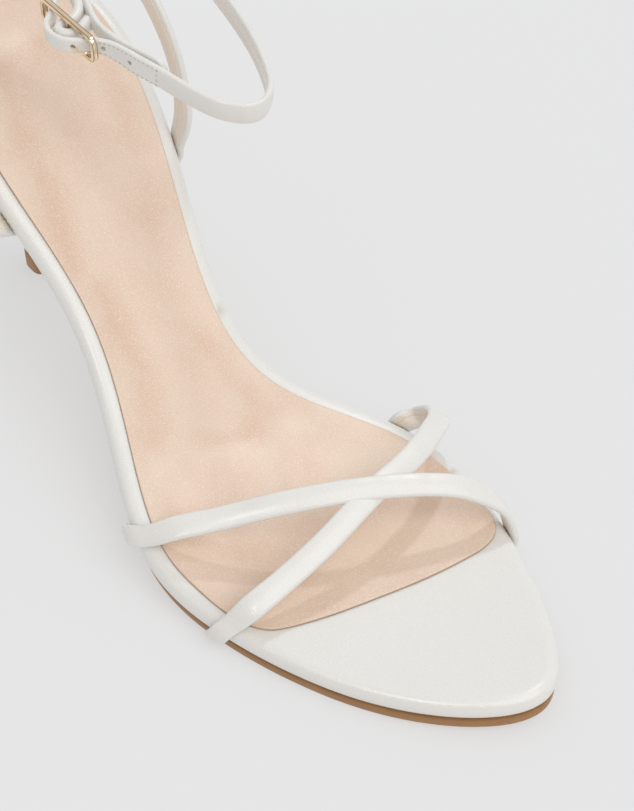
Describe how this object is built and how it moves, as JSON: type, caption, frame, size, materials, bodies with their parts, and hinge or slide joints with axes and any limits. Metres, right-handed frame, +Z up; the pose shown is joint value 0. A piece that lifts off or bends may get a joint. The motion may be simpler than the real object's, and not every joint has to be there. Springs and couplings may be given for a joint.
{
  "type": "strappy sandal",
  "caption": "High-heeled strappy sandal for a right foot: wrapped footbed on a thin outsole and slim heel, crossing toe straps, heel strap and a buckled ankle strap.",
  "frame": {"origin": "on the floor, under the middle of the shoe's bounding box", "axes": "+X to the toe, +Y to the inner side of the right foot, +Z up"},
  "size_m": [0.2308, 0.0864, 0.1283],
  "materials": {
    "white_leather": "satin white grained leather",
    "blush_lining": "soft fine-grained blush lining leather",
    "tan_sole": "smooth tan resin sole with a satin edge",
    "pale_gold": "polished pale gold plating"
  },
  "bodies": {
    "root": {"outsole": "tan_sole", "footbed": "white_leather", "sock_lining": "blush_lining", "heel": "white_leather", "heel_top_piece": "tan_sole", "vamp_straps": "white_leather", "heel_strap": "white_leather", "ankle_strap": "white_leather", "buckle_chape": "white_leather", "buckle_frame": "pale_gold", "buckle_prong": "pale_gold"}
  },
  "joints": []
}
